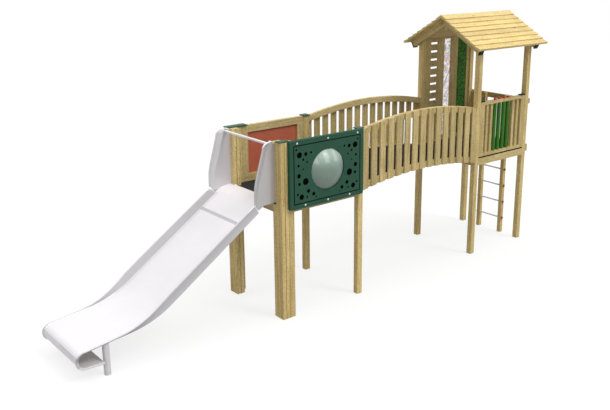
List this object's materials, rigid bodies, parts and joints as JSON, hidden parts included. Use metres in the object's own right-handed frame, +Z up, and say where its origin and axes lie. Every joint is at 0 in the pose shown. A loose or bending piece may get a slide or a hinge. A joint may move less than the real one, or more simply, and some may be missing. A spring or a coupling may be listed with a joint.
{
  "type": "play tower",
  "caption": "Timber play tower with a steel slide, an arched slatted bridge and a roofed tower with spinning rollers, a ladder and play panels.",
  "frame": {"origin": "on the ground, in the middle of the whole tower's length and width", "axes": "+X from the slide's foot towards the roofed tower, -Y towards the bubble panel's side, +Z up"},
  "size_m": [7.4978, 1.494, 3.535],
  "materials": {
    "timber": "planed softwood, lightly weathered",
    "roof_timber": "pale planed boards",
    "slide_steel": "bright satin stainless sheet",
    "rung_steel": "satin round bar, ends capped in red",
    "cap_green": "dark green moulded caps",
    "green_sheet": "dark green coloured sheet",
    "clear_dome": "clear blown dome, greenish where dark lies behind it",
    "red_sheet": "brick-red coloured sheet",
    "deck_board": "dark speckled non-slip board",
    "roller_green": "glossy green tube",
    "knob_red": "red domed end cap on a steel rod",
    "swirl_sheet": "lilac, white and pink marbled sheet",
    "turf_green": "deep green textured strip"
  },
  "bodies": {
    "frame": {"slide_post_near_front": "timber", "slide_post_near_back": "timber", "slide_post_far_front": "timber", "slide_post_far_back": "timber", "roof_post_near_front": "timber", "roof_post_near_back": "timber", "roof_post_far_front": "timber", "roof_post_far_back": "timber", "cheek_near": "timber", "cheek_far": "timber", "slide_deck_frame": "timber", "roof_deck_frame": "timber", "red_side_frame": "timber", "handrail_near": "timber", "handrail_far": "timber", "balustrade_near": "timber", "balustrade_far": "timber", "bridge_bearers": "timber", "play_wall": "timber", "roller_barrier": "timber", "end_barrier": "timber", "ladder_stile_near": "timber", "ladder_stile_far": "timber", "gable_frame_front": "timber", "gable_frame_back": "timber", "roof_slope_near": "roof_timber", "roof_slope_far": "roof_timber", "slide_bed": "slide_steel", "slide_wing_near": "slide_steel", "slide_wing_far": "slide_steel", "slide_grab_bar": "slide_steel", "slide_leg_near": "slide_steel", "slide_leg_far": "slide_steel", "ladder_rung_1": "rung_steel", "ladder_rung_2": "rung_steel", "ladder_rung_3": "rung_steel", "ladder_rung_4": "rung_steel", "ladder_rung_5": "rung_steel", "cap_near_front": "cap_green", "cap_near_back": "cap_green", "cap_far_front": "cap_green", "cap_far_back": "cap_green", "bubble_panel_front": "green_sheet", "bubble_panel_back": "green_sheet", "bubble_dome": "clear_dome", "red_panel": "red_sheet", "slide_deck_board": "deck_board", "roof_deck_board": "deck_board", "bridge_deck": "deck_board", "roller_spindle_1": "knob_red", "roller_spindle_2": "knob_red", "roller_spindle_3": "knob_red", "roller_spindle_4": "knob_red", "swirl_panel": "swirl_sheet", "green_panel": "turf_green"},
    "turning_roller_1": {"roller_1": "roller_green"},
    "turning_roller_2": {"roller_2": "roller_green"},
    "turning_roller_3": {"roller_3": "roller_green"},
    "turning_roller_4": {"roller_4": "roller_green"}
  },
  "joints": [
    {"name": "roller_1_spin", "type": "hinge", "parent": "frame", "child": "turning_roller_1", "pos_m": [2.802, -0.5625, 1.91], "axis": [0, 0, 1], "continuous": true},
    {"name": "roller_2_spin", "type": "hinge", "parent": "frame", "child": "turning_roller_2", "pos_m": [2.9034, -0.5625, 1.91], "axis": [0, 0, 1], "continuous": true},
    {"name": "roller_3_spin", "type": "hinge", "parent": "frame", "child": "turning_roller_3", "pos_m": [3.0046, -0.5625, 1.91], "axis": [0, 0, 1], "continuous": true},
    {"name": "roller_4_spin", "type": "hinge", "parent": "frame", "child": "turning_roller_4", "pos_m": [3.1059, -0.5625, 1.91], "axis": [0, 0, 1], "continuous": true}
  ]
}
